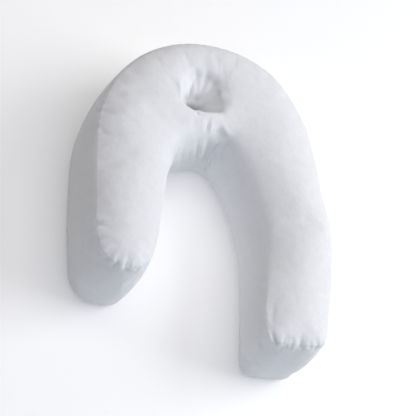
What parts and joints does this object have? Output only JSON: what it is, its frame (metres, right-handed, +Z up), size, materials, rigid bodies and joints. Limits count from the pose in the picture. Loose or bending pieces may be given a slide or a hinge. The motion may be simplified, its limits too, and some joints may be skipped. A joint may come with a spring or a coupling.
{
  "type": "u-shaped side sleeper pillow",
  "caption": "U-shaped stuffed pillow for side sleepers: a short leg, a longer leg and an ear hole sewn through its arch.",
  "frame": {"origin": "under the middle of the footprint, on the surface that the pillow lies on", "axes": "+Z up through the pillow's thickness, +Y from the legs towards the arch, +X from the short leg towards the long leg"},
  "size_m": [0.4914, 0.6324, 0.1831],
  "materials": {
    "cloth": "soft white woven cover, matt"
  },
  "bodies": {
    "root": {"pillow": "cloth"}
  },
  "joints": []
}
